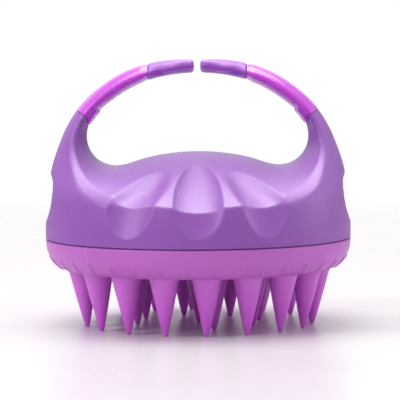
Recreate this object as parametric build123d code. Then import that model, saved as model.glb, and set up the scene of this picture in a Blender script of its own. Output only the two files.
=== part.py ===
from build123d import *
import math
import os

# Palm-held massage brush: a hollow domed handle with a split finger ring on top and a soft pad
# of long cones underneath.  Millimetres, +Z up, origin on the resting surface under the centre,
# +X along the finger ring, -Y the front.

# ---------------------------------------------------------------- driving dimensions
PARTING_Z = 25.5              # lower edge of the handle shell
WALL = 2.2                    # shell wall
TIP_GAP = 1.9                 # opening between the two arm tips

# outer form by height: half-width seen from the front, half-depth seen from the side
FORM_STATIONS = [
    (PARTING_Z, 45.0, 45.0),
    (30.7, 44.95, 44.75),
    (35.7, 44.6, 43.8),
    (39.2, 44.3, 42.3),
    (41.2, 44.0, 40.3),
    (43.9, 43.55, 36.0),
    (47.6, 42.75, 30.2),
    (52.2, 41.2, 25.2),
    (57.2, 39.15, 21.0),
    (60.6, 37.3, 18.0),
    (65.3, 33.8, 14.6),
    (70.2, 28.3, 11.4),
    (73.6, 22.95, 9.2),
    (75.8, 17.8, 8.0),
    (77.0, 13.5, 7.2),
    (77.9, 9.0, 6.5),
]
FORM_OVALS = 27               # ovals that the form is lofted through
TOP_Z = FORM_STATIONS[-1][0]
CAVITY_ROOF = (44.2, 43.05, 35.5)

# half of the finger hole's outline at the middle of the ring, from the hump to the top, and how
# it flares there: x, z, distance and depth of the ridge beside that point, power of the curve
HOLE_STATIONS = [
    (0.0, 50.95, 13.75, 43.3, 1.55),
    (9.5, 50.25, 13.15, 42.6, 1.55),
    (17.0, 48.6, 10.5, 39.5, 1.55),
    (24.4, 46.9, 7.6, 34.5, 1.55),
    (29.5, 48.8, 5.8, 22.0, 1.55),
    (32.4, 53.4, 3.7, 11.5, 1.5),
    (31.8, 59.5, 2.4, 8.3, 1.5),
    (26.2, 65.5, 2.3, 7.2, 1.6),
    (18.0, 70.6, 1.9, 6.8, 1.8),
    (9.0, 73.3, 1.3, 7.0, 2.0),
    (0.0, 74.1, 1.2, 7.0, 2.0),
]
HOLE_DEPTHS = [0.0, 6.0, 12.0, 20.0, 29.0, 38.0, 48.0]
HOLE_MIDDLE_Z = 59.2
FLARE_LIMIT = 16.0            # the flare stops growing once it is outside the ring

# finger scallops: three in front, three behind, each a hollow in the wall and one in the slope
# above it, and one on each side.  Hollows are ellipsoids.
SCALLOP_ACROSS = 8.6
SCALLOP_RADIAL = 5.0
WALL_HOLLOW = (46.4, 36.5, 9.4)              # radius, height, half-height
FRONT_SLOPE_HOLLOW = (44.2, 39.8, 30.0, 21.5)   # radius, height, half-length, tilt
FLANK_SLOPE_HOLLOW = (44.0, 40.8, 25.0, 19.5)
FLANK_TURN = 26.2
SIDE_SCALLOP_SIZE = (5.0, 19.0, 9.6)
SIDE_SCALLOP_CENTRE = (47.0, 37.2)

# arms: the soft sleeve runs from a slanted lower cut to an upright upper cut
SLEEVE_LOW = (33.2, 61.8)
SLEEVE_LOW_SLOPE = 29.0
SLEEVE_HIGH_X = 14.4
SLEEVE_BLOCK_INWARD = 21.0    # how far the block that cuts out a sleeve reaches on each side of
SLEEVE_BLOCK_OUTWARD = 40.0   # the lower cut
BLOCK_DEPTH = 60.0            # front to back, deeper than the ring
SEAM = 0.05
CORE_PATH = [(37.0, 53.7), (35.0, 59.4), (31.4, 64.6), (25.6, 69.5), (17.4, 73.5), (7.0, 75.5)]
CORE_THICKNESS = 1.6
CORE_HALF_WIDTH = 4.0
PEG_RADIUS = 1.2
PEG_LENGTH = 3.0
ROOT_PEG_AT = 0.09            # along the core, from its lower end
TIP_PEG_AT = 0.90
TIP_POCKET = 0.15             # play of the core and peg in the moving tip

# plate, screws and seal
PLATE_RADIUS = 40.0
PLATE_TOP = 24.1
PLATE_THICKNESS = 2.6
RIB_RINGS = (18.5, 34.5)
RIB_WIDTH = 2.0
FLANGE_INNER = 34.8
FLANGE_OUTER = 44.0
FLANGE_THICKNESS = 2.0
BOSS_RADIUS = 4.2
BOSS_CIRCLE = 27.0
BOSS_ANGLES = (30.0, 150.0, 210.0, 330.0)
BOSS_TOP = 42.8
SCREW_RADIUS = 1.3
SCREW_HEAD_RADIUS = 2.7
SCREW_HEAD_HEIGHT = 1.5
SCREW_SLOT = (3.0, 0.6, 1.6)  # one arm of the cross recess
SCREW_LENGTH = 9.0            # of thread above the plate
SCREW_CLEARANCE = 0.2
SEAL_RADIUS = 0.85
SEAL_CIRCLE = 36.6

# soft pad
PAD_TOP = 25.4
PAD_BOTTOM = 16.7
PAD_FLOOR = 2.4
PAD_CORNER = 2.0              # chamfer inside the cup, between its wall and floor
PAD_INNER = 40.2
LIP_INNER = 38.2
SKIRT_PROFILE = [(39.0, PAD_BOTTOM), (41.1, 17.5), (43.1, 19.4), (44.5, 22.0), (45.0, PAD_TOP)]
SKIRT_RIB_COUNT = 36
SKIRT_RIB_RADIUS = 0.55
SKIRT_RIB_LENGTH = 2.6
SKIRT_RIB_AT = (42.3, 18.7)
SKIRT_RIB_LEAN = 43.0

# cones, as ring radii at the root and at the tip
CONE_ROOT = 4.25
CONE_TIP = 0.75
CONE_TIP_ROUND = 0.35
OUTER_CONES = (18, 34.7, 33.6, 3.8)
MIDDLE_CONES = (8, 19.0, 18.5, 14.0)
CENTRE_CONE = (1, 0.0, 0.0, 0.0)

RIGHT = 1
LEFT = -1


# ---------------------------------------------------------------- outer form
def form_stations():
    """The form's stations, spaced evenly along its outline."""
    outline = Spline(*[Vector(half_width, half_depth, z) for z, half_width, half_depth in FORM_STATIONS])
    places = [outline @ (index / (FORM_OVALS - 1)) for index in range(FORM_OVALS)]
    return [(place.Z, place.X, place.Y) for place in places]


def oval_loft(stations, shrink=0.0):
    """Smooth bell through flat ovals, each drawn in by the same amount."""
    ovals = []
    for height, half_width, half_depth in stations:
        oval = Ellipse(half_width - shrink, half_depth - shrink)
        ovals.append(Plane.XY.offset(height) * oval)
    return loft(ovals)


def hole_section(depth, grow):
    """Outline of the finger hole at one depth: it opens outwards with the depth."""
    mirrored = [(-x, *rest) for x, *rest in reversed(HOLE_STATIONS[1:-1])]
    stations = HOLE_STATIONS + mirrored
    middle = Spline(*[Vector(x, 0, z) for x, z, *_ in stations], periodic=True)
    moved = []
    for x, z, ridge, ridge_depth, power in stations:
        tangent = middle.tangent_at(middle.param_at_point(Vector(x, 0, z)))
        normal = Vector(tangent.Z, 0, -tangent.X)
        away = Vector(x, 0, z - HOLE_MIDDLE_Z)
        if normal.dot(away) < 0:
            normal = normal * -1
        flare = min(ridge * (abs(depth) / ridge_depth)**power, FLARE_LIMIT)
        moved.append(Vector(x, depth, z) + normal * (grow + flare))
    return Face(Wire([Spline(*moved, periodic=True)]))


def finger_hole(grow=0.0):
    depths = [-depth for depth in reversed(HOLE_DEPTHS[1:])] + HOLE_DEPTHS
    return loft([hole_section(depth, grow) for depth in depths])


# ---------------------------------------------------------------- finger scallops
def ellipsoid(half_x, half_y, half_z):
    ball = Solid.make_sphere(1.0, angle1=-90, angle2=90, angle3=360)
    matrix = Matrix([[half_x, 0, 0, 0], [0, half_y, 0, 0], [0, 0, half_z, 0]])
    return ball.transform_geometry(matrix)


def scallops(grow=0.0):
    """The hollows for the fingertips; grow thickens them to keep a wall behind."""
    radial = SCALLOP_RADIAL + grow
    across = SCALLOP_ACROSS + grow
    wall_radius, wall_height, half_height = WALL_HOLLOW
    shapes = []
    for face_angle in (-90, 90):
        for turn in (-FLANK_TURN, 0, FLANK_TURN):
            slope_hollow = FLANK_SLOPE_HOLLOW if turn else FRONT_SLOPE_HOLLOW
            radius, height, half_length, tilt = slope_hollow
            facing = Rot(0, 0, face_angle + turn)
            in_wall = ellipsoid(radial, across, half_height + grow)
            in_slope = ellipsoid(half_length + grow, across, radial)
            shapes.append(facing * Pos(wall_radius, 0, wall_height) * in_wall)
            shapes.append(facing * Pos(radius, 0, height) * Rot(0, tilt, 0) * in_slope)
    half_x, half_y, half_z = SIDE_SCALLOP_SIZE
    for side in (RIGHT, LEFT):
        hollow = ellipsoid(half_x + grow, half_y + grow, half_z + grow)
        place = Pos(side * SIDE_SCALLOP_CENTRE[0], 0, SIDE_SCALLOP_CENTRE[1])
        shapes.append(place * hollow)
    return shapes


# ---------------------------------------------------------------- regions that divide the ring
def block_over_hole(width):
    """Block from the middle of the finger hole to well above the ring."""
    return Pos(0, 0, TOP_Z) * Box(width, BLOCK_DEPTH, 2 * (TOP_Z - HOLE_MIDDLE_Z))


def sleeve_region(side, margin):
    """Everything above the slanted lower cut and outside the upright upper cut of one arm."""
    length = SLEEVE_BLOCK_INWARD + SLEEVE_BLOCK_OUTWARD
    middle = (SLEEVE_BLOCK_OUTWARD - SLEEVE_BLOCK_INWARD) / 2
    block = Pos(middle, 0, margin + length / 2) * Box(length, BLOCK_DEPTH, length)
    above = Pos(SLEEVE_LOW[0], 0, SLEEVE_LOW[1]) * Rot(0, -SLEEVE_LOW_SLOPE, 0) * block
    outside = Pos(SLEEVE_HIGH_X + margin + TOP_Z / 2, 0, TOP_Z) * Box(TOP_Z, BLOCK_DEPTH, TOP_Z)
    region = above & outside
    return region if side == RIGHT else mirror(region, Plane.YZ)


def tip_region(side, margin):
    """The part of the ring between the upright cut and the opening at the top."""
    inner = TIP_GAP / 2 - margin
    outer = SLEEVE_HIGH_X - margin
    return Pos(side * (inner + outer) / 2, 0, 0) * block_over_hole(outer - inner)


# ---------------------------------------------------------------- arm cores and their pegs
def core_middle():
    return Spline(*[Vector(x, 0, z) for x, z in CORE_PATH])


def core_strip(side, play=0.0):
    """Flexible flat strip along the middle of one arm; play makes the pocket for it."""
    middle = core_middle()
    half_width = CORE_HALF_WIDTH + play
    edges = []
    for offset in (CORE_THICKNESS / 2 + play, -CORE_THICKNESS / 2 - play):
        moved = []
        for x, z in CORE_PATH:
            tangent = middle.tangent_at(middle.param_at_point(Vector(x, 0, z)))
            moved.append(Vector(x, -half_width, z) + Vector(tangent.Z, 0, -tangent.X) * offset)
        moved[-1] -= Vector(play, 0, 0)
        edges.append(Spline(*moved))
    outer, inner = edges
    outline = Face(Wire([outer, Line(outer @ 1, inner @ 1), inner, Line(outer @ 0, inner @ 0)]))
    strip = Solid.extrude(outline, Vector(0, 2 * half_width, 0))
    return strip if side == RIGHT else strip.mirror(Plane.YZ)


def core_peg(side, along, play=0.0):
    """Short peg through the strip's flat face, which locks it in the arm."""
    middle = core_middle()
    tangent = middle.tangent_at(along)
    place = Plane(origin=middle.position_at(along), x_dir=(0, 1, 0), z_dir=(tangent.Z, 0, -tangent.X))
    peg = place * Cylinder(PEG_RADIUS + play, PEG_LENGTH)
    return peg if side == RIGHT else mirror(peg, Plane.YZ)


# ---------------------------------------------------------------- handle shell
def screw_places():
    return [Rot(0, 0, angle) * Pos(BOSS_CIRCLE, 0, 0) for angle in BOSS_ANGLES]


def shell_cavity():
    lower = [station for station in form_stations() if station[0] < CAVITY_ROOF[0] - 0.5]
    return oval_loft(lower + [CAVITY_ROOF], WALL) - [finger_hole(WALL)] - scallops(WALL)


def ring_flange():
    """Ledge inside the shell's lower edge that presses on the pad's lip and the seal."""
    flange = Cylinder(FLANGE_OUTER, FLANGE_THICKNESS) - Cylinder(FLANGE_INNER, FLANGE_THICKNESS)
    return Pos(0, 0, PARTING_Z + FLANGE_THICKNESS / 2) * flange


def handle_shell(ring):
    above = [block_over_hole(4 * TIP_GAP)]
    for side in (RIGHT, LEFT):
        above.append(sleeve_region(side, -SEAM))
        above.append(tip_region(side, -2 * SEAM))
    shell = ring - above - [shell_cavity()]
    boss_height = BOSS_TOP - PLATE_TOP
    boss = Pos(0, 0, PLATE_TOP + boss_height / 2) * Cylinder(BOSS_RADIUS, boss_height)
    shell += [ring_flange()] + [place * boss for place in screw_places()]
    pilot = Pos(0, 0, PLATE_TOP + SCREW_LENGTH / 2) * Cylinder(SCREW_RADIUS, SCREW_LENGTH)
    inserts = [place * pilot for place in screw_places()]
    for side in (RIGHT, LEFT):
        inserts += [core_strip(side), core_peg(side, ROOT_PEG_AT)]
    return shell - inserts


# ---------------------------------------------------------------- plate, screws and seal
def plate_screw():
    plate_low = PLATE_TOP - PLATE_THICKNESS
    head = Cone(SCREW_HEAD_RADIUS, SCREW_RADIUS, SCREW_HEAD_HEIGHT)
    shank_low = plate_low + SCREW_HEAD_HEIGHT
    shank_top = PLATE_TOP + SCREW_LENGTH
    shank = Cylinder(SCREW_RADIUS, shank_top - shank_low)
    screw = Pos(0, 0, shank_low - SCREW_HEAD_HEIGHT / 2) * head
    screw += Pos(0, 0, (shank_top + shank_low) / 2) * shank
    slot = Box(*SCREW_SLOT)
    return screw - [Pos(0, 0, plate_low) * slot, Pos(0, 0, plate_low) * Rot(0, 0, 90) * slot]


def plate_screws():
    return [place * plate_screw() for place in screw_places()]


def seal_ring():
    return Pos(0, 0, PARTING_Z - SEAL_RADIUS) * Torus(SEAL_CIRCLE, SEAL_RADIUS)


def base_plate():
    plate_low = PLATE_TOP - PLATE_THICKNESS
    rib_height = plate_low - PAD_BOTTOM - PAD_FLOOR
    plate = Pos(0, 0, PLATE_TOP - PLATE_THICKNESS / 2) * Cylinder(PLATE_RADIUS, PLATE_THICKNESS)
    ribs = [Cylinder(CONE_ROOT, rib_height)]
    for radius in RIB_RINGS:
        outer = Cylinder(radius + RIB_WIDTH / 2, rib_height)
        ribs.append(outer - Cylinder(radius - RIB_WIDTH / 2, rib_height))
    plate += [Pos(0, 0, plate_low - rib_height / 2) * rib for rib in ribs]
    hole = Cylinder(SCREW_RADIUS + SCREW_CLEARANCE, 3 * PLATE_THICKNESS)
    sink = Cone(SCREW_HEAD_RADIUS, SCREW_RADIUS, SCREW_HEAD_HEIGHT)
    holes = []
    for place in screw_places():
        holes.append(place * Pos(0, 0, PLATE_TOP) * hole)
        holes.append(place * Pos(0, 0, plate_low + SCREW_HEAD_HEIGHT / 2) * sink)
    return plate - [seal_ring()] - holes


# ---------------------------------------------------------------- soft pad and cones
def brush_pad():
    skirt = Spline(*[Vector(r, 0, z) for r, z in SKIRT_PROFILE])
    floor_top = PAD_BOTTOM + PAD_FLOOR
    corners = [
        (SKIRT_PROFILE[-1][0], PAD_TOP), (LIP_INNER, PAD_TOP), (LIP_INNER, PLATE_TOP),
        (PAD_INNER, PLATE_TOP), (PAD_INNER, floor_top + PAD_CORNER),
        (PAD_INNER - PAD_CORNER, floor_top),
        (0, floor_top), (0, PAD_BOTTOM), (SKIRT_PROFILE[0][0], PAD_BOTTOM),
    ]
    rest = Polyline(*[Vector(r, 0, z) for r, z in corners])
    pad = revolve(Face(Wire([skirt] + rest.edges())), Axis.Z)
    radius, height = SKIRT_RIB_AT
    rib = Cylinder(SKIRT_RIB_RADIUS, SKIRT_RIB_LENGTH)
    ribs = []
    for index in range(SKIRT_RIB_COUNT):
        turn = (index + 0.5) * 360 / SKIRT_RIB_COUNT
        ribs.append(Rot(0, 0, turn) * Pos(radius, 0, height) * Rot(0, SKIRT_RIB_LEAN, 0) * rib)
    return pad + ribs


def leaning_cone(root_circle, tip_circle):
    """Cone hanging from the pad, its tip drawn a little towards the middle."""
    root = Plane.XY.offset(PAD_BOTTOM) * Pos(root_circle, 0, 0) * Circle(CONE_ROOT)
    tip = Plane.XY * Pos(tip_circle, 0, 0) * Circle(CONE_TIP)
    cone = loft([tip, root], ruled=True)
    return fillet(cone.edges().sort_by(Axis.Z)[0], CONE_TIP_ROUND)


def cone_ring(ring):
    count, root_circle, tip_circle, turn = ring
    cone = leaning_cone(root_circle, tip_circle)
    return [Rot(0, 0, -90 + turn + index * 360 / count) * cone for index in range(count)]


# ---------------------------------------------------------------- assembly
def write(name, shapes):
    solids = []
    for shape in shapes:
        solids += shape.solids()
    whole = solids[0]
    if len(solids) > 1:
        whole = Compound(children=solids)
    export_step(whole, f"parts/{name}.step")


def main():
    os.makedirs("parts", exist_ok=True)
    ring = oval_loft(form_stations()) - [finger_hole()] - scallops()
    write("handle_shell", [handle_shell(ring)])
    for name, side in (("right_arm", RIGHT), ("left_arm", LEFT)):
        core = core_strip(side)
        root_peg = core_peg(side, ROOT_PEG_AT)
        tip_peg = core_peg(side, TIP_PEG_AT)
        write(f"{name}_sleeve", [(ring & sleeve_region(side, SEAM)) - core])
        write(f"{name}_tip", [(ring & tip_region(side, SEAM)) - [core_strip(side, TIP_POCKET), tip_peg]])
        write(f"{name}_core", [core - [root_peg, core_peg(side, TIP_PEG_AT, TIP_POCKET)]])
        write(f"{name}_root_peg", [root_peg])
        write(f"{name}_tip_peg", [tip_peg])
    write("base_plate", [base_plate()])
    write("plate_screws", plate_screws())
    write("seal_ring", [seal_ring()])
    write("brush_pad", [brush_pad()])
    write("outer_cones", cone_ring(OUTER_CONES))
    write("middle_cones", cone_ring(MIDDLE_CONES))
    write("centre_cone", cone_ring(CENTRE_CONE))


main()
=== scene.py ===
import math

import bmesh
import bpy
import numpy as np
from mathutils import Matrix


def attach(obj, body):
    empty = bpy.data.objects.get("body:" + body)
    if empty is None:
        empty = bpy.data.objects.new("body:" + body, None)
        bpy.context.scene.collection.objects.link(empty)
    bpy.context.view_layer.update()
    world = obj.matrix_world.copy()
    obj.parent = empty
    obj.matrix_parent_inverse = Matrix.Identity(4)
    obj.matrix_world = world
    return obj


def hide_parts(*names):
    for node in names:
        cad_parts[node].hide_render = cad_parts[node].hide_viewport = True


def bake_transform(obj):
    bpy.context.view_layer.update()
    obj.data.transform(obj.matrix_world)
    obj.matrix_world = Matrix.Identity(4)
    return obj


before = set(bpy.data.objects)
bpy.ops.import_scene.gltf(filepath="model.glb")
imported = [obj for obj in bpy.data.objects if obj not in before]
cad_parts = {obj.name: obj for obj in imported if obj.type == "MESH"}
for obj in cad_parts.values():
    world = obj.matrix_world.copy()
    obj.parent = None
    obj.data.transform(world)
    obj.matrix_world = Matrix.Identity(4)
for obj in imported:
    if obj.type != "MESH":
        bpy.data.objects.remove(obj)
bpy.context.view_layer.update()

import openvdb
from mathutils import Euler, Matrix, Vector

MM = 0.001

# Palm-held curry comb: a round handle with a finger ring on two sprung arms, and a soft pad of cones.
# The CAD gives each piece's place and motion; the shapes that show are made here, a little finer.

# ---------------------------------------------------------------- driving dimensions, millimetres
BODY_RADIUS = 45.0
PARTING_Z = 25.5
TOP_Z = 77.9
WALL = 2.2
TIP_GAP = 1.9

# outer form by height: half-width seen from the front, half-depth seen from the side
FORM_STATIONS = [
    (21.2, 45.0, 45.0), (25.5, 45.0, 45.0), (30.7, 44.95, 44.75), (35.7, 44.6, 43.8),
    (39.2, 44.3, 42.3), (41.2, 44.0, 40.3), (43.9, 43.55, 36.0), (47.6, 42.75, 30.2),
    (52.2, 41.2, 25.2), (57.2, 39.15, 21.0), (60.6, 37.3, 18.0), (65.3, 33.8, 14.6),
    (70.2, 28.3, 11.4), (73.6, 22.95, 9.2), (75.8, 17.8, 8.0), (77.0, 13.5, 7.2),
    (77.9, 9.0, 6.5),
]
# half of the finger hole's outline at the middle of the ring, from the hump to the top, and how it
# flares: x, z, distance and depth of the ridge beside that point, power of the curve, chamfer width
HOLE_STATIONS = [
    (0.0, 50.95, 13.75, 43.3, 1.55, 0.0), (9.5, 50.25, 13.15, 42.6, 1.55, 0.0),
    (17.0, 48.6, 10.5, 39.5, 1.55, 0.3), (24.4, 46.9, 7.6, 34.5, 1.55, 2.1),
    (29.5, 48.8, 5.8, 22.0, 1.55, 2.0), (32.4, 53.4, 3.7, 11.5, 1.5, 1.7),
    (31.8, 59.5, 2.4, 8.3, 1.5, 1.2), (26.2, 65.5, 2.3, 7.2, 1.6, 1.1),
    (18.0, 70.6, 1.9, 6.8, 1.8, 1.0), (9.0, 73.3, 1.3, 7.0, 2.0, 0.8),
    (0.0, 74.1, 1.2, 7.0, 2.0, 0.8),
]

# finger scallops: half-width, height of the ledge, reach above and below it, depth, how bluntly the
# part below the ledge ends, and how much softer than that the rim of the part above it is
FRONT_SCALLOP = {"half": 7.2, "ledge": 36.5, "up": 11.2, "down": 8.2, "depth": 2.4, "taper": 1.5, "soft": 0.0}
FLANK_SCALLOP = {"half": 7.2, "ledge": 36.7, "up": 9.8, "down": 8.4, "depth": 2.4, "taper": 1.4, "soft": 0.5}
SIDE_SCALLOP = {"half": 12.5, "ledge": 37.7, "up": 7.0, "down": 7.4, "depth": 2.8, "taper": 2.0, "soft": 0.0}
SCALLOP_STEP = 26.2
SCALLOP_SIDE_POWER = 2.2
SCALLOP_TOP_POWER = 2.4
SCALLOP_RIM_POWER = 0.9

# inside of the shell: hollow, flange over the pad and four screw bosses
CAVITY_ROOF = 42.2
FLANGE_MIDDLE = 39.4
FLANGE_HALF_WIDTH = 4.6
FLANGE_HEIGHT = 2.0
BOSS_ANGLES = (30, 150, 210, 330)
BOSS_CIRCLE = 27.0
BOSS_RADIUS = 4.2
BOSS_TOP = 42.8
INSET = 0.6

# rounding of the handle's edges
TOP_ROUND = 0.8
EDGE_ROUND = 0.4

# shadow gap between the handle and the pad
GROOVE_HEIGHT = 0.32
GROOVE_DEPTH = 0.8

# arms: the stump lies past ARM_FROM in x and z, and the sleeve runs from its low cut to the tip
ARM_FROM = (16.0, 53.2)
SLEEVE_LOW = (33.2, 61.8)
SLEEVE_LOW_SLOPE = 29.0
SLEEVE_HIGH = (14.4, 74.4)
SLEEVE_PROUD = 0.12
SLEEVE_DRAWN_IN = 0.30
SLEEVE_CLEARANCE = 0.02
LIP_HALF_THICKNESS = 0.5
LIP_HALF_HEIGHT = 2.3
LIP_HALF_WIDTH = 4.6
CORE_PATH = [(37.0, 53.7), (35.0, 59.4), (31.4, 64.6), (25.6, 69.5), (17.4, 73.5), (7.0, 75.5)]
CORE_THICKNESS = 1.6
CORE_HALF_WIDTH = 4.0
CORE_CORNER = 0.5
# finger waves in the tip: x, z, half-width, half-height, depth
TIP_WAVES = [(11.2, 74.4, 2.2, 1.6, 0.55), (4.0, 75.4, 2.2, 1.2, 0.35)]

# soft pad
PAD_TOP = 25.4
PAD_BOTTOM = 16.7
PLATE_TOP = 24.1
LIP_INNER = 38.2
PAD_INNER = 40.2
PAD_FLOOR = 2.4
PAD_EDGE = 0.45
SKIRT_PROFILE = [(39.0, PAD_BOTTOM), (41.1, 17.5), (43.1, 19.4), (44.5, 22.0), (BODY_RADIUS, PAD_TOP)]

# ribs round the skirt: they grow out of it over RIB_LOW and fade into it over RIB_HIGH
RIB_COUNT = 36
RIB_CIRCLE = 42.0
RIB_HEIGHT = 0.36
RIB_HALF_WIDTH = 0.45
RIB_LOW = (17.0, 17.5)
RIB_HIGH = (20.0, 21.1)
RIB_OUTWARDS = 0.75
RIB_DOWNWARDS = 0.65

# cones: radii, then for each ring the count, the circle of its roots and of its tips, and its turn
CONE_ROOT = 4.25
CONE_TIP = 0.58
CONE_TIP_ROUND = 0.35
CONE_FLARE = 0.25
CONE_FLARE_LENGTH = 1.6
CONE_BELLY = 0.10
CONE_SEGMENTS = 40
OUTER_CONES = (18, 34.7, 33.6, 3.8)
MIDDLE_CONES = (8, 19.0, 18.5, 14.0)
CENTRE_CONE = (1, 0.0, 0.0, 0.0)

# fineness of the meshes made from fields
HANDLE_VOXEL = 0.575
SLEEVE_VOXEL = 0.24
TIP_VOXEL = 0.3
SHARP_ANGLE = math.radians(50)

# studio, in metres and degrees
FLOOR_HALF_SIZE = 0.6
FLOOR_COLOUR = (0.75, 0.715, 0.73)
FLOOR_SHADE = (0.70, 0.665, 0.685)
LIGHT_LEVEL = 0.60
LIGHT_ABOVE = 0.97
CAMERA_PLACE = (0, -0.653, 0.0795)
CAMERA_DOWN = 3.77
CAMERA_ROLL = -0.39
CAMERA_LENS = 199.2
CAMERA_SHIFT = 0.005


# ---------------------------------------------------------------- smooth curves
def smooth_through(points, samples, closed=False):
    """Cubic curve through the points, spaced by the distance between their first two columns."""
    knots = np.array(points, float)
    if closed:
        repeat = 4
        knots = np.vstack([knots[-repeat:], knots, knots[:repeat + 1]])
    chord = np.concatenate([[0], np.cumsum(np.linalg.norm(np.diff(knots[:, :2], axis=0), axis=1))])
    count = len(chord)
    step = np.diff(chord)
    system = np.zeros((count, count))
    right = np.zeros((count, knots.shape[1]))
    system[0, 0] = system[-1, -1] = 1.0
    for i in range(1, count - 1):
        system[i, i - 1] = step[i - 1]
        system[i, i] = 2 * (step[i - 1] + step[i])
        system[i, i + 1] = step[i]
        right[i] = 6 * ((knots[i + 1] - knots[i]) / step[i] - (knots[i] - knots[i - 1]) / step[i - 1])
    bend = np.linalg.solve(system, right)
    first, last = (chord[repeat], chord[-repeat - 1]) if closed else (chord[0], chord[-1])
    where = np.linspace(first, last, samples + 1)
    if closed:
        where = where[:-1]
    i = np.clip(np.searchsorted(chord, where, side="right") - 1, 0, count - 2)
    ahead = ((chord[i + 1] - where) / step[i])[:, None]
    behind = ((where - chord[i]) / step[i])[:, None]
    curve = ahead * knots[i] + behind * knots[i + 1]
    width = (step[i]**2 / 6)[:, None]
    return curve + width * ((ahead**3 - ahead) * bend[i] + (behind**3 - behind) * bend[i + 1])


def smooth_step(low, high, value):
    """Rises smoothly from 0 at low to 1 at high."""
    t = np.clip((value - low) / (high - low), 0, 1)
    return t * t * (3 - 2 * t)


# ---------------------------------------------------------------- the handle as a distance field
FORM = smooth_through(FORM_STATIONS, 2000)
OTHER_HALF = [(-x, *rest) for x, *rest in reversed(HOLE_STATIONS[1:-1])]
OUTLINE = smooth_through(HOLE_STATIONS + OTHER_HALF, 900, True)
FAR = 25.0
TABLE_STEP = 0.25
TABLE_X = np.arange(-50, 50.01, TABLE_STEP)
TABLE_Z = np.arange(18, 84.01, TABLE_STEP)


def hole_tables():
    """For a grid over the front view: signed distance from the finger hole, and the flare beside it."""
    along = np.roll(OUTLINE[:, :2], -1, 0) - np.roll(OUTLINE[:, :2], 1, 0)
    along /= np.linalg.norm(along, axis=1)[:, None]
    facing = np.stack([along[:, 1], -along[:, 0]], 1)
    middle = OUTLINE[:, :2].mean(0)
    facing *= np.sign(np.sum(facing * (OUTLINE[:, :2] - middle), 1).mean())
    tables = np.empty((5, len(TABLE_X), len(TABLE_Z)))
    for i, x in enumerate(TABLE_X):
        dx = x - OUTLINE[:, 0][:, None]
        dz = TABLE_Z[None, :] - OUTLINE[:, 1][:, None]
        square = dx**2 + dz**2
        near = square.argmin(0)
        column = np.arange(len(TABLE_Z))
        tables[0, i] = dx[near, 0] * facing[near, 0] + dz[near, column] * facing[near, 1]
        tables[1:, i] = OUTLINE[near, 2:].T
    return tables


HOLE_TABLES = hole_tables()


def look_up(x, z):
    """The hole tables at any points, interpolated."""
    column = np.clip((x - TABLE_X[0]) / TABLE_STEP, 0, len(TABLE_X) - 1.001)
    row = np.clip((z - TABLE_Z[0]) / TABLE_STEP, 0, len(TABLE_Z) - 1.001)
    column, row = np.broadcast_arrays(column, row)
    i = column.astype(int)
    j = row.astype(int)
    u = column - i
    v = row - j
    found = []
    for table in HOLE_TABLES:
        low = table[i, j] * (1 - v) + table[i, j + 1] * v
        high = table[i + 1, j] * (1 - v) + table[i + 1, j + 1] * v
        found.append(low * (1 - u) + high * u)
    return found


def soft_max(a, b, reach):
    """The larger of two fields, with the edge between them rounded over about the reach."""
    near = np.maximum(reach - np.abs(a - b), 0) / reach
    return np.maximum(a, b) + near**2 * reach / 4


def bell(x, y, z):
    """Distance outside the oval bell that the handle and the ring are cut from."""
    half_width = np.interp(z, FORM[:, 0], FORM[:, 1])
    half_depth = np.interp(z, FORM[:, 0], FORM[:, 2])
    width_slope = np.interp(z, FORM[:, 0], np.gradient(FORM[:, 1], FORM[:, 0]))
    depth_slope = np.interp(z, FORM[:, 0], np.gradient(FORM[:, 2], FORM[:, 0]))
    ratio = np.sqrt((x / half_width)**2 + (y / half_depth)**2) + 1e-6
    by_x = x / half_width**2
    by_y = y / half_depth**2
    by_z = x**2 * width_slope / half_width**3 + y**2 * depth_slope / half_depth**3
    steep = np.sqrt(by_x**2 + by_y**2 + by_z**2) / ratio + 1e-4
    side = np.clip((ratio - 1) / steep, -FAR, FAR)
    return soft_max(side, z - TOP_Z, TOP_ROUND)


def hole(x, y, z):
    """Distance inside the flared finger hole, whose floor is the saddle of the handle."""
    distance, ridge, ridge_depth, power, _ = look_up(x, z)
    share = np.abs(y) / ridge_depth
    opening = ridge * share**power
    slope = ridge * power * share**(power - 1) / ridge_depth
    return (opening - distance) / np.sqrt(1 + slope**2)


def scallop(x, y, z, angle, shape):
    """Depth of one finger hollow: deepest on the ledge, fading to an egg-shaped rim."""
    turn = math.radians(angle)
    across = -x * math.sin(turn) + y * math.cos(turn)
    outward = x * math.cos(turn) + y * math.sin(turn)
    rise = z - shape["ledge"]
    side = np.abs(across / shape["half"])**SCALLOP_SIDE_POWER
    above = (np.maximum(rise, 0) / shape["up"])**SCALLOP_TOP_POWER
    below = (np.maximum(-rise, 0) / shape["down"])**shape["taper"]
    rim_power = SCALLOP_RIM_POWER + shape["soft"] * smooth_step(0, 4, rise)
    depth = shape["depth"] * np.maximum(1 - side - above - below, 0)**rim_power
    own_side = outward > 8
    return np.where(own_side, depth, 0)


def scallops(x, y, z):
    """Depth of all eight hollows: three in front, three behind and one on each side."""
    depth = 0
    for facing in (-90, 90):
        depth = depth + scallop(x, y, z, facing, FRONT_SCALLOP)
        for step in (-SCALLOP_STEP, SCALLOP_STEP):
            depth = depth + scallop(x, y, z, facing + step, FLANK_SCALLOP)
    for facing in (0, 180):
        depth = depth + scallop(x, y, z, facing, SIDE_SCALLOP)
    return depth


def ring_field(x, y, z):
    """The whole handle and ring: bell less hole, with a crisp ledge and chamfered arm edges."""
    outside = bell(x, y, z)
    inside = hole(x, y, z)
    chamfer = look_up(x, z)[4]
    flat = (outside + inside) * math.sqrt(0.5) + chamfer / 2
    edge = soft_max(outside, inside, EDGE_ROUND)
    return soft_max(edge, flat, EDGE_ROUND) + scallops(x, y, z)


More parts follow.
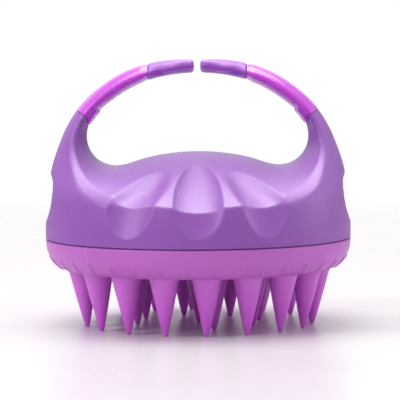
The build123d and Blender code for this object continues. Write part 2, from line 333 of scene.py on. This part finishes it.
# ---------------------------------------------------------------- fields into meshes
def settle(points, field, rounds=2):
    """Moves points onto the field's zero surface along its slope."""
    step = 0.05
    flattest = 0.2
    furthest = 0.4
    for _ in range(rounds):
        x, y, z = points.T
        value = field(x, y, z)
        slope = np.stack([
            field(x + step, y, z) - field(x - step, y, z),
            field(x, y + step, z) - field(x, y - step, z),
            field(x, y, z + step) - field(x, y, z - step),
        ], 1) / (2 * step)
        steepness = np.maximum((slope**2).sum(1), flattest)
        move = -(value / steepness)[:, None] * slope
        points = points + np.clip(move, -furthest, furthest)
    return points


def mesh_from_field(name, field, low, high, voxel):
    """Mesh in metres round the inside of a field, within a box in millimetres."""
    band = 3 * voxel
    axes = [np.arange(low[i], high[i] + voxel, voxel) for i in range(3)]
    x = axes[0][:, None, None]
    y = axes[1][None, :, None]
    z = axes[2][None, None, :]
    values = np.clip(field(x, y, z), -band, band).astype(np.float32)
    grid = openvdb.FloatGrid(band)
    grid.copyFromArray(np.ascontiguousarray(values))
    points, triangles, quads = grid.convertToPolygons(isovalue=0.0, adaptivity=0.0)
    points = settle(points * voxel + np.array(low), field)
    mesh = bpy.data.meshes.new(name)
    faces = [tuple(int(v) for v in face) for face in quads]
    faces += [tuple(int(v) for v in face) for face in triangles]
    mesh.from_pydata((points * MM).tolist(), [], faces)
    mesh.update()
    return mesh


def as_object(name, mesh):
    """Smooth-shaded object in the scene that shows the mesh."""
    obj = bpy.data.objects.new(name, mesh)
    bpy.context.collection.objects.link(obj)
    for polygon in mesh.polygons:
        polygon.use_smooth = True
    return obj


# ---------------------------------------------------------------- handle shell
def above_low_cut(x, z):
    """Height above the slanted cut where the soft sleeve meets the handle's stump."""
    slope = math.radians(SLEEVE_LOW_SLOPE)
    return (z - SLEEVE_LOW[1]) * math.cos(slope) - (np.abs(x) - SLEEVE_LOW[0]) * math.sin(slope)


def handle_field(x, y, z):
    """Hollow shell with its flange, bosses and stumps, a little long wherever it is cut flat later."""
    spare = 1.1
    spare_stump = 1.0
    outer = ring_field(x, y, z)
    cavity = soft_max(outer + WALL, z - CAVITY_ROOF, 1.0)
    shell = np.maximum(outer, -cavity)
    radius = np.sqrt(x**2 + y**2)
    flange = np.maximum(np.abs(radius - FLANGE_MIDDLE) - FLANGE_HALF_WIDTH, z - PARTING_Z - FLANGE_HEIGHT)
    shell = np.minimum(shell, np.maximum(flange, outer + INSET))
    for angle in BOSS_ANGLES:
        turn = math.radians(angle)
        across = np.hypot(x - BOSS_CIRCLE * math.cos(turn), y - BOSS_CIRCLE * math.sin(turn))
        boss = np.maximum(across - BOSS_RADIUS, z - BOSS_TOP)
        shell = np.minimum(shell, np.maximum(boss, outer + INSET))
    on_arm = (np.abs(x) > ARM_FROM[0]) & (z > ARM_FROM[1])
    past_stump = np.where(on_arm, above_low_cut(x, z) - spare_stump, -FAR)
    return np.maximum(np.maximum(shell, past_stump), PARTING_Z - spare - z)


def loops_of(edges):
    """Groups boundary edges into closed loops, always in the same order."""
    left = dict.fromkeys(edges)
    loops = []
    while left:
        edge = next(iter(left))
        del left[edge]
        loop = [edge]
        ends = list(edge.verts)
        while ends:
            vert = ends.pop()
            for other in vert.link_edges:
                if other in left:
                    del left[other]
                    loop.append(other)
                    ends += list(other.verts)
        loops.append(loop)
    return loops


def extruded(bm, loop, move):
    """Adds one strip of faces along a loop, with the new points placed by move."""
    result = bmesh.ops.extrude_edge_only(bm, edges=loop)
    for vert in result["geom"]:
        if isinstance(vert, bmesh.types.BMVert):
            vert.co = move(vert.co)
    return [edge for edge in result["geom"] if isinstance(edge, bmesh.types.BMEdge) and edge.is_boundary]


def mean_radius(loop):
    """How far a loop's points lie from the upright axis, on average."""
    return sum(math.hypot(*vert.co.xy) for edge in loop for vert in edge.verts) / (2 * len(loop))


def finish_bottom(bm):
    """Cuts the shell level, steps its outer edge in and closes the rim and the screw bosses."""
    cut_z = (PARTING_Z + GROOVE_HEIGHT) * MM
    bmesh.ops.bisect_plane(bm, geom=bm.verts[:] + bm.edges[:] + bm.faces[:], dist=1e-7,
                           plane_co=(0, 0, cut_z), plane_no=(0, 0, -1), clear_outer=True)
    rims = []
    for loop in loops_of([edge for edge in bm.edges if edge.is_boundary]):
        radius = mean_radius(loop)
        middle = sum((vert.co for edge in loop for vert in edge.verts), Vector()) / (2 * len(loop))
        if middle.xy.length > BOSS_CIRCLE / 2 * MM:
            low = extruded(bm, loop, lambda co: Vector((co.x, co.y, PLATE_TOP * MM)))
            bmesh.ops.holes_fill(bm, edges=low)
        elif radius > FLANGE_MIDDLE * MM:
            shrink = 1 - GROOVE_DEPTH / BODY_RADIUS
            step = extruded(bm, loop, lambda co: Vector((co.x * shrink, co.y * shrink, co.z)))
            rims += extruded(bm, step, lambda co: Vector((co.x, co.y, PARTING_Z * MM)))
        else:
            rims += extruded(bm, loop, lambda co: Vector((co.x, co.y, PARTING_Z * MM)))
    bmesh.ops.bridge_loops(bm, edges=rims)


def cut_stump(bm, side):
    """Cuts one arm off at the slant where its sleeve begins, and closes the end."""
    slope = math.radians(SLEEVE_LOW_SLOPE)
    arm = []
    for face in bm.faces:
        middle = face.calc_center_median() / MM
        if side * middle.x > ARM_FROM[0] + 2 and middle.z > ARM_FROM[1]:
            arm.append(face)
    edges = list(dict.fromkeys(edge for face in arm for edge in face.edges))
    verts = list(dict.fromkeys(vert for face in arm for vert in face.verts))
    bmesh.ops.bisect_plane(bm, geom=verts + edges + arm, dist=1e-7,
                           plane_co=(side * SLEEVE_LOW[0] * MM, 0, SLEEVE_LOW[1] * MM),
                           plane_no=(-side * math.sin(slope), 0, math.cos(slope)), clear_outer=True)
    bmesh.ops.holes_fill(bm, edges=[edge for edge in bm.edges if edge.is_boundary])


def make_handle():
    """The shell with its stumps and rim cut flat and closed."""
    low = (-46.5, -46.5, 23.4)
    high = (46.5, 46.5, 65.2)
    mesh = mesh_from_field("handle_skin", handle_field, low, high, HANDLE_VOXEL)
    bm = bmesh.new()
    bm.from_mesh(mesh)
    for side in (1, -1):
        cut_stump(bm, side)
    finish_bottom(bm)
    bmesh.ops.recalc_face_normals(bm, faces=bm.faces)
    bm.to_mesh(mesh)
    bm.free()
    mesh.set_sharp_from_angle(angle=SHARP_ANGLE)
    return as_object("handle_skin", mesh)


# ---------------------------------------------------------------- arm sleeves, tips and cores
def sleeve_field(x, y, z):
    """Soft sleeve: a little proud of the stump, drawn in at the tip, with a lip inside its lower end."""
    low = above_low_cut(x, z)
    high = x - SLEEVE_HIGH[0]
    body = ring_field(x, y, z) - SLEEVE_PROUD + SLEEVE_DRAWN_IN * smooth_step(2.5, 0.0, high)
    body = soft_max(body, SLEEVE_CLEARANCE - low, 0.5)
    body = soft_max(body, SLEEVE_CLEARANCE - high, 0.3)
    through_lip = np.abs(hole(x, y, z) - 0.05) - LIP_HALF_THICKNESS
    along_lip = np.abs(low - 0.6) - LIP_HALF_HEIGHT
    lip = soft_max(through_lip, along_lip, 0.7)
    lip = soft_max(lip, np.abs(y) - LIP_HALF_WIDTH, 1.6)
    return -soft_max(-body, -lip, 1.2)


def tip_field(x, y, z):
    """Arm tip: rounded end at the gap and shallow finger waves in its front and back."""
    body = ring_field(x, y, z)
    wave = 0
    for wave_x, wave_z, half_width, half_height, depth in TIP_WAVES:
        wave = wave + depth * np.exp(-((x - wave_x) / half_width)**2 - ((z - wave_z) / half_height)**2)
    body = body + wave * smooth_step(3.0, 6.0, np.abs(y))
    body = soft_max(body, TIP_GAP / 2 - x, 1.3)
    return soft_max(body, x - SLEEVE_HIGH[0] + 0.03, 0.35)


def mirrored(name, mesh):
    """Copy of a mesh on the other side of the ring."""
    copy = mesh.copy()
    copy.name = name
    copy.transform(Matrix.Scale(-1, 4, Vector((1, 0, 0))))
    copy.flip_normals()
    return copy


def outwards(mesh):
    """The same mesh with its faces turned outwards."""
    bm = bmesh.new()
    bm.from_mesh(mesh)
    bmesh.ops.recalc_face_normals(bm, faces=bm.faces)
    bm.to_mesh(mesh)
    bm.free()
    return mesh


def core_mesh():
    """Flexible strip with rounded edges that follows the middle of the right arm."""
    path = smooth_through(CORE_PATH, 48)
    along = np.gradient(path, axis=0)
    along /= np.linalg.norm(along, axis=1)[:, None]
    corner = CORE_CORNER
    half = CORE_THICKNESS / 2
    section = []
    for centre_y, centre_n, start in ((1, 1, 0), (-1, 1, 90), (-1, -1, 180), (1, -1, 270)):
        for angle in (start, start + 45, start + 90):
            turn = math.radians(angle)
            section.append((centre_y * (CORE_HALF_WIDTH - corner) + corner * math.cos(turn),
                            centre_n * (half - corner) + corner * math.sin(turn)))
    bm = bmesh.new()
    rings = []
    for point, tangent in zip(path, along):
        ring = []
        for y, offset in section:
            place = (point[0] + tangent[1] * offset, y, point[1] - tangent[0] * offset)
            ring.append(bm.verts.new(Vector(place) * MM))
        rings.append(ring)
    for first, second in zip(rings, rings[1:]):
        for i in range(len(section)):
            j = (i + 1) % len(section)
            bm.faces.new((first[i], first[j], second[j], second[i]))
    bm.faces.new(rings[0])
    bm.faces.new(rings[-1])
    mesh = bpy.data.meshes.new("right_core_strip")
    bmesh.ops.recalc_face_normals(bm, faces=bm.faces)
    bm.to_mesh(mesh)
    bm.free()
    mesh.set_sharp_from_angle(angle=SHARP_ANGLE)
    return mesh


# ---------------------------------------------------------------- soft pad and cones
def lathe(name, rings, closed_top, closed_bottom):
    """Joins rings of points, listed from one end to the other, into one mesh."""
    bm = bmesh.new()
    made = [[bm.verts.new(Vector(point) * MM) for point in ring] for ring in rings]
    for first, second in zip(made, made[1:]):
        for i in range(len(first)):
            j = (i + 1) % len(first)
            bm.faces.new((first[i], first[j], second[j], second[i]))
    for closed, ring in ((closed_top, made[0]), (closed_bottom, made[-1])):
        if closed:
            bm.faces.new(ring)
    bmesh.ops.recalc_face_normals(bm, faces=bm.faces)
    mesh = bpy.data.meshes.new(name)
    bm.to_mesh(mesh)
    bm.free()
    return mesh


def rib_angles():
    """Angles round the pad, close together over each rib and wide between them."""
    pitch = 2 * math.pi / RIB_COUNT
    half = RIB_HALF_WIDTH * 1.6 / RIB_CIRCLE
    fine_steps = 6
    coarse_steps = 5
    angles = []
    for rib in range(RIB_COUNT):
        centre = (rib + 0.5) * pitch
        angles += [centre + half * step / fine_steps for step in range(-fine_steps, fine_steps + 1)]
        gap = pitch - 2 * half
        angles += [centre + half + gap * step / coarse_steps for step in range(1, coarse_steps)]
    return angles


def pad_profile():
    """Section of the soft cup from the middle of its underside round to the middle of its floor."""
    edge = PAD_EDGE
    underside = [(r, PAD_BOTTOM) for r in np.linspace(1.0, 38.2, 12)]
    skirt = [(r, z) for r, z in smooth_through(SKIRT_PROFILE, 26) if z < PAD_TOP - edge - 0.05]
    corner = [(BODY_RADIUS - edge * (1 - math.cos(t)), PAD_TOP - edge * (1 - math.sin(t)))
              for t in np.radians([0, 22, 45, 68, 90])]
    inside = [(LIP_INNER, PAD_TOP), (LIP_INNER, PLATE_TOP), (PAD_INNER, PLATE_TOP),
              (PAD_INNER, PAD_BOTTOM + PAD_FLOOR + 2), (PAD_INNER - 2, PAD_BOTTOM + PAD_FLOOR)]
    floor = [(r, PAD_BOTTOM + PAD_FLOOR) for r in np.linspace(36, 1.0, 8)]
    return underside + skirt + corner + inside + floor


def make_pad():
    """The pad as a ring of sections, with its ribs raised out of the skirt."""
    angles = rib_angles()
    pitch = 2 * math.pi / RIB_COUNT
    rings = []
    for radius, z in pad_profile():
        ring = []
        on_skirt = radius > 39.5 and z < PAD_TOP - 3
        share = smooth_step(*RIB_LOW, z) * (1 - smooth_step(*RIB_HIGH, z)) if on_skirt else 0
        for angle in angles:
            off = (angle / pitch % 1 - 0.5) * pitch * RIB_CIRCLE
            height = RIB_HEIGHT * share * math.exp(-(off / RIB_HALF_WIDTH)**2 * 1.6)
            reach = radius + height * RIB_OUTWARDS
            ring.append((reach * math.cos(angle), reach * math.sin(angle), z - height * RIB_DOWNWARDS))
        rings.append(ring)
    mesh = lathe("pad_skin", rings, True, True)
    mesh.set_sharp_from_angle(angle=SHARP_ANGLE)
    return as_object("pad_skin", mesh)


def cone_rings(centre_root, centre_tip):
    """Rings of points down one leaning cone, from its flared root to its rounded tip."""
    steps = []
    for t in np.linspace(0, 1, 6):
        height = PAD_BOTTOM - CONE_FLARE_LENGTH * t
        flare = CONE_FLARE * (1 - t)**2.2
        steps.append((height, flare))
    steps += [(height, 0) for height in np.linspace(PAD_BOTTOM - CONE_FLARE_LENGTH - 1.0, 0.8, 16)]
    rings = []
    for height, flare in steps:
        share = height / PAD_BOTTOM
        belly = CONE_BELLY * math.sin(math.pi * share)
        rings.append((height, CONE_TIP + (CONE_ROOT - CONE_TIP) * share + flare + belly))
    for angle in np.radians([15, 40, 65, 90]):
        height = CONE_TIP_ROUND * (1 - math.sin(angle))
        rings.append((height, CONE_TIP - CONE_TIP_ROUND * (1 - math.cos(angle))))
    turns = np.arange(CONE_SEGMENTS) * 2 * math.pi / CONE_SEGMENTS
    result = []
    for height, radius in rings:
        share = height / PAD_BOTTOM
        centre = centre_tip + (centre_root - centre_tip) * share
        result.append([(centre[0] + radius * math.cos(turn), centre[1] + radius * math.sin(turn), height)
                       for turn in turns])
    return result


def make_cones(name, ring):
    """One ring of cones as one piece."""
    count, root_circle, tip_circle, turn = ring
    bm = bmesh.new()
    for index in range(count):
        angle = math.radians(-90 + turn + index * 360 / count)
        direction = np.array([math.cos(angle), math.sin(angle)])
        cone = lathe("cone", cone_rings(direction * root_circle, direction * tip_circle), True, True)
        bm.from_mesh(cone)
        bpy.data.meshes.remove(cone)
    mesh = bpy.data.meshes.new(name)
    bm.to_mesh(mesh)
    bm.free()
    mesh.set_sharp_from_angle(angle=SHARP_ANGLE)
    return as_object(name, mesh)


# ---------------------------------------------------------------- materials
def new_material(name):
    """Empty node material: its node tree, its shader and object coordinates in metres."""
    material = bpy.data.materials.new(name)
    material.use_nodes = True
    tree = material.node_tree
    shader = tree.nodes["Principled BSDF"]
    coords = tree.nodes.new("ShaderNodeTexCoord").outputs["Object"]
    return material, tree, shader, coords


def shader_of(material):
    return material.node_tree.nodes["Principled BSDF"]


def noise(tree, coords, scale, detail=2.0):
    """Cloudy pattern with a scale in features per metre."""
    node = tree.nodes.new("ShaderNodeTexNoise")
    node.inputs["Scale"].default_value = scale
    node.inputs["Detail"].default_value = detail
    node.inputs["Roughness"].default_value = 0.5
    tree.links.new(coords, node.inputs["Vector"])
    return node.outputs["Fac"]


def ramp(tree, value, low, high, from_low=0.0, from_high=1.0):
    """Maps a value from one range to another."""
    node = tree.nodes.new("ShaderNodeMapRange")
    node.inputs["From Min"].default_value = from_low
    node.inputs["From Max"].default_value = from_high
    node.inputs["To Min"].default_value = low
    node.inputs["To Max"].default_value = high
    tree.links.new(value, node.inputs["Value"])
    return node.outputs["Result"]


def mix_colours(tree, share, first, second):
    """Mixes two colours; each is a linear RGB triple or another node's output."""
    node = tree.nodes.new("ShaderNodeMix")
    node.data_type = "RGBA"
    tree.links.new(share, node.inputs["Factor"])
    for socket, colour in ((node.inputs[6], first), (node.inputs[7], second)):
        if isinstance(colour, tuple):
            socket.default_value = (*colour, 1.0)
        else:
            tree.links.new(colour, socket)
    return node.outputs[2]


def bump(tree, shader, heights):
    """Chains bumps of (height output, strength, depth in metres) into the shader's normal."""
    normal = None
    for height, strength, depth in heights:
        node = tree.nodes.new("ShaderNodeBump")
        node.inputs["Strength"].default_value = strength
        node.inputs["Distance"].default_value = depth
        tree.links.new(height, node.inputs["Height"])
        if normal is not None:
            tree.links.new(normal, node.inputs["Normal"])
        normal = node.outputs["Normal"]
    tree.links.new(normal, shader.inputs["Normal"])


def worn_and_highlit_edges(tree, low, high):
    """One on convex edges and zero elsewhere: the mask for paler edges, partly wear and partly painted
    highlight.
    """
    geometry = tree.nodes.new("ShaderNodeNewGeometry")
    return ramp(tree, geometry.outputs["Pointiness"], 0.0, 1.0, low, high)


def moulded(name, colour, worn_and_highlight, shade, roughness, grain_scale, grain_depth,
            gloss=0.5, soft=0.0, grain=0.35, edge_level=0.52):
    """Moulded plastic or rubber: cloudy colour, grain in bump and gloss, edges paler from wear and painted
    highlight.

    The colour drifts between colour and shade. A higher edge_level keeps the wear and painted highlight to
    the sharpest edges.
    """
    material, tree, shader, coords = new_material(name)
    cloud = noise(tree, coords, 45.0, 3.0)
    speck = noise(tree, coords, grain_scale, 2.0)
    body = mix_colours(tree, ramp(tree, cloud, 0.0, 1.0, 0.3, 0.7), colour, shade)
    # convex edges are painted paler: partly wear, partly a painted highlight where they catch the light
    edge = tree.nodes.new("ShaderNodeMath")
    edge.operation = "MULTIPLY"
    tree.links.new(worn_and_highlit_edges(tree, edge_level, edge_level + 0.08), edge.inputs[0])
    tree.links.new(ramp(tree, noise(tree, coords, 260.0, 3.0), 0.0, 0.7), edge.inputs[1])
    tree.links.new(mix_colours(tree, edge.outputs[0], body, worn_and_highlight), shader.inputs["Base Color"])
    uneven = ramp(tree, speck, roughness - 0.07, roughness + 0.07, 0.3, 0.7)
    tree.links.new(uneven, shader.inputs["Roughness"])
    shader.inputs["Specular IOR Level"].default_value = gloss
    if soft:
        shader.inputs["Subsurface Weight"].default_value = soft
        shader.inputs["Subsurface Radius"].default_value = (1.0, 0.45, 0.9)
        shader.inputs["Subsurface Scale"].default_value = 0.003
    bump(tree, shader, [(speck, grain, grain_depth), (noise(tree, coords, 90.0), 0.05, 0.0002)])
    return material


def handle_material():
    """Etched purple plastic with a fine grain."""
    # the paler edge colour is partly wear and partly painted highlight
    return moulded("handle_etched", colour=(0.275, 0.080, 0.425), worn_and_highlight=(0.44, 0.24, 0.60),
                   shade=(0.255, 0.070, 0.405), roughness=0.44, grain_scale=1900.0, grain_depth=0.00010,
                   gloss=0.6, grain=0.6)


def tip_material():
    """Satin plastic of the arm tips, smoother than the handle."""
    # the paler edge colour is partly wear and partly painted highlight
    return moulded("tip_satin", colour=(0.34, 0.078, 0.53), worn_and_highlight=(0.48, 0.23, 0.66),
                   shade=(0.30, 0.062, 0.48), roughness=0.42, grain_scale=2600.0, grain_depth=0.00005)


def sleeve_material():
    """Glossy soft pink-violet sleeve."""
    # the paler edge colour is partly wear and partly painted highlight
    material = moulded("sleeve_gloss", colour=(0.56, 0.055, 0.65), worn_and_highlight=(0.70, 0.22, 0.76),
                       shade=(0.51, 0.045, 0.60), roughness=0.30, grain_scale=700.0, grain_depth=0.00001,
                       soft=0.10, grain=0.03, edge_level=0.74)
    shader = shader_of(material)
    shader.inputs["Coat Weight"].default_value = 0.35
    shader.inputs["Coat Roughness"].default_value = 0.18
    return material


def silicone_material(name, colour, shade, deep):
    """Satin silicone, more saturated towards the cone tips."""
    # the paler edge colour is partly wear and partly painted highlight
    material = moulded(name, colour=colour, worn_and_highlight=(0.62, 0.26, 0.68), shade=shade, roughness=0.44,
                       grain_scale=1800.0, grain_depth=0.00004, soft=0.2, edge_level=0.66)
    tree = material.node_tree
    base_colour = shader_of(material).inputs["Base Color"]
    coords = tree.nodes["Texture Coordinate"].outputs["Object"]
    split = tree.nodes.new("ShaderNodeSeparateXYZ")
    tree.links.new(coords, split.inputs["Vector"])
    towards_tip = ramp(tree, split.outputs["Z"], 1.0, 0.0, 0.0, 0.017)
    undeepened = base_colour.links[0].from_socket
    tree.links.new(mix_colours(tree, towards_tip, undeepened, deep), base_colour)
    return material


def plain_plastic(name, colour):
    """Moulded plastic whose edge colour, for wear and painted highlight, and shaded colour follow from its
    own.
    """
    # the paler edge colour is partly wear and partly painted highlight
    worn_and_highlight = tuple(min(1.0, c * 1.4 + 0.04) for c in colour)
    shade = tuple(c * 0.88 for c in colour)
    return moulded(name, colour, worn_and_highlight, shade, roughness=0.45, grain_scale=2200.0, grain_depth=0.00005)


def steel_material():
    """Stainless steel with a fine grain."""
    # the paler edge colour is partly wear and partly painted highlight
    material = moulded("screw_steel", colour=(0.60, 0.60, 0.62), worn_and_highlight=(0.80, 0.80, 0.80),
                       shade=(0.50, 0.50, 0.52), roughness=0.30, grain_scale=5000.0, grain_depth=0.00002)
    shader_of(material).inputs["Metallic"].default_value = 1.0
    return material


# ---------------------------------------------------------------- putting the pieces in place
def add_piece(obj, material, body, slot, *nodes):
    """Gives a piece its material and body and hides the CAD nodes it stands for; no body if it is blended.
    The slot is not used.
    """
    obj.data.materials.clear()
    obj.data.materials.append(material)
    if body:
        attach(obj, body)
    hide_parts(*nodes)
    return obj


def build_handle():
    add_piece(make_handle(), handle_material(), "handle", "handle_plastic", "handle_shell")


def build_arms():
    """Sleeves, cores and tips: made for the right arm and mirrored for the left."""
    sleeve = mesh_from_field("right_sleeve", sleeve_field, (12, -16, 56), (38, 16, 77.5), SLEEVE_VOXEL)
    sleeve = outwards(sleeve)
    tip = mesh_from_field("right_tip", tip_field, (0.4, -11, 70), (15.4, 11, 78.4), TIP_VOXEL)
    tip = outwards(tip)
    core = core_mesh()
    sleeve_paint = sleeve_material()
    tip_paint = tip_material()
    core_paint = plain_plastic("core_natural", (0.72, 0.70, 0.74))
    for name, side in (("right", 1), ("left", -1)):
        arm = f"{name}_arm"
        for part, mesh, paint, slot in (
            ("sleeve", sleeve, sleeve_paint, "sleeve_rubber"),
            ("core", core, core_paint, "core_plastic"),
        ):
            own = mesh if side == 1 else mirrored(f"left_{part}", mesh)
            piece = add_piece(as_object(f"{name}_{part}_skin", own), paint, None, slot, f"{arm}_{part}")
            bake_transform(piece)
        own = tip if side == 1 else mirrored("left_tip", tip)
        add_piece(as_object(f"{name}_tip_skin", own), tip_paint, arm, "tip_plastic", f"{arm}_tip")


def build_pad():
    """The pad and its three rings of cones."""
    body = silicone_material("pad_silicone", colour=(0.505, 0.132, 0.56), shade=(0.48, 0.118, 0.53),
                             deep=(0.48, 0.116, 0.535))
    cone = silicone_material("cone_silicone", colour=(0.62, 0.163, 0.68), shade=(0.59, 0.142, 0.65),
                             deep=(0.62, 0.105, 0.70))
    add_piece(make_pad(), body, "handle", "pad_rubber", "brush_pad")
    rings = (("outer_cones", OUTER_CONES), ("middle_cones", MIDDLE_CONES), ("centre_cone", CENTRE_CONE))
    for name, ring in rings:
        add_piece(make_cones(f"{name}_skin", ring), cone, "handle", "cone_rubber", name)


def paint_hidden_parts():
    """Materials for the parts inside, which keep their CAD shape."""
    plate = plain_plastic("plate_purple", (0.22, 0.07, 0.40))
    seal = plain_plastic("seal_black", (0.02, 0.02, 0.022))
    steel = steel_material()
    paints = {"base_plate": plate, "plate_screws": steel, "seal_ring": seal}
    for side in ("left", "right"):
        for end in ("root", "tip"):
            paints[f"{side}_arm_{end}_peg"] = plate
    for node, paint in paints.items():
        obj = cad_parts[node]
        if not obj.material_slots:
            obj.data.materials.append(paint)
        for material_slot in obj.material_slots:
            material_slot.material = paint


# ---------------------------------------------------------------- stage, light and camera
def floor_material():
    """Pale tabletop that fades into the white backdrop all round."""
    material, tree, shader, coords = new_material("floor_pale")
    cloud = noise(tree, coords, 14.0, 4.0)
    colour = mix_colours(tree, ramp(tree, cloud, 0.0, 1.0, 0.35, 0.65), FLOOR_COLOUR, FLOOR_SHADE)
    tree.links.new(colour, shader.inputs["Base Color"])
    tree.links.new(ramp(tree, cloud, 0.24, 0.34), shader.inputs["Roughness"])
    reach = tree.nodes.new("ShaderNodeVectorMath")
    reach.operation = "LENGTH"
    tree.links.new(coords, reach.inputs[0])
    tree.links.new(ramp(tree, reach.outputs["Value"], 1.0, 0.0, 0.16, 0.55), shader.inputs["Alpha"])
    return material


def build_stage():
    """A square of floor under the brush."""
    bm = bmesh.new()
    size = FLOOR_HALF_SIZE
    corners = [(-size, -size), (size, -size), (size, size), (-size, size)]
    bm.faces.new([bm.verts.new((x, y, 0)) for x, y in corners])
    mesh = bpy.data.meshes.new("floor")
    bm.to_mesh(mesh)
    bm.free()
    mesh.materials.append(floor_material())
    floor = bpy.data.objects.new("floor", mesh)
    bpy.context.collection.objects.link(floor)


def area_light(name, place, target, size, power, gloss_only=False):
    """Rectangular lamp aimed at the target, which may show in the gloss only."""
    light = bpy.data.lights.new(name, "AREA")
    light.shape = "RECTANGLE"
    light.size, light.size_y = size
    light.energy = power
    obj = bpy.data.objects.new(name, light)
    bpy.context.collection.objects.link(obj)
    obj.location = place
    obj.rotation_euler = (Vector(target) - Vector(place)).to_track_quat("-Z", "Y").to_euler()
    obj.visible_diffuse = not gloss_only
    obj.visible_camera = False


def build_world():
    """White backdrop; the light that it gives is brightest overhead."""
    world = bpy.data.worlds.new("studio")
    bpy.context.scene.world = world
    world.use_nodes = True
    tree = world.node_tree
    backdrop = tree.nodes["Background"]
    backdrop.inputs["Color"].default_value = (1.0, 1.0, 1.0, 1.0)
    coords = tree.nodes.new("ShaderNodeTexCoord")
    split = tree.nodes.new("ShaderNodeSeparateXYZ")
    tree.links.new(coords.outputs["Generated"], split.inputs["Vector"])
    light = tree.nodes.new("ShaderNodeBackground")
    strength = ramp(tree, split.outputs["Z"], LIGHT_LEVEL, LIGHT_ABOVE, 0.0, 1.0)
    tree.links.new(strength, light.inputs["Strength"])
    path = tree.nodes.new("ShaderNodeLightPath")
    mix = tree.nodes.new("ShaderNodeMixShader")
    tree.links.new(path.outputs["Is Camera Ray"], mix.inputs["Fac"])
    tree.links.new(light.outputs["Background"], mix.inputs[1])
    tree.links.new(backdrop.outputs["Background"], mix.inputs[2])
    tree.links.new(mix.outputs["Shader"], tree.nodes["World Output"].inputs["Surface"])


def build_light():
    """Key from the upper left, broad light from above, sheen on the saddle, and fills behind and right."""
    build_world()
    area_light("key_light", place=(-0.70, -0.35, 0.62), target=(0, 0, 0.03), size=(0.35, 0.35), power=3.2)
    area_light("top_light", place=(-0.08, 0.12, 0.85), target=(0, 0, 0.03), size=(0.70, 0.70), power=5.7)
    area_light("sheen_light", place=(0.08, 0.30, 0.72), target=(0, 0, 0.04), size=(0.60, 0.40), power=4.6,
               gloss_only=True)
    area_light("back_light", place=(-0.10, 0.60, 0.32), target=(0, 0.05, 0), size=(0.90, 0.35), power=0.7)
    area_light("rim_light", place=(0.70, 0.10, 0.30), target=(0, 0, 0.05), size=(0.30, 0.50), power=1.2)
    bpy.context.scene.view_settings.view_transform = "Standard"


def build_camera():
    """Seen from the front, a little from above, through a long lens."""
    camera = bpy.data.cameras.new("camera")
    camera.sensor_width = 36.0
    camera.lens = CAMERA_LENS
    camera.clip_start = 0.01
    camera.shift_x = CAMERA_SHIFT
    obj = bpy.data.objects.new("camera", camera)
    bpy.context.collection.objects.link(obj)
    pitch = math.radians(90 - CAMERA_DOWN)
    roll = math.radians(CAMERA_ROLL)
    obj.location = CAMERA_PLACE
    obj.rotation_euler = (Euler((pitch, 0, 0)).to_matrix() @ Matrix.Rotation(roll, 3, "Z")).to_euler()
    bpy.context.scene.camera = obj


build_handle()
build_arms()
build_pad()
paint_hidden_parts()
build_stage()
build_light()
build_camera()
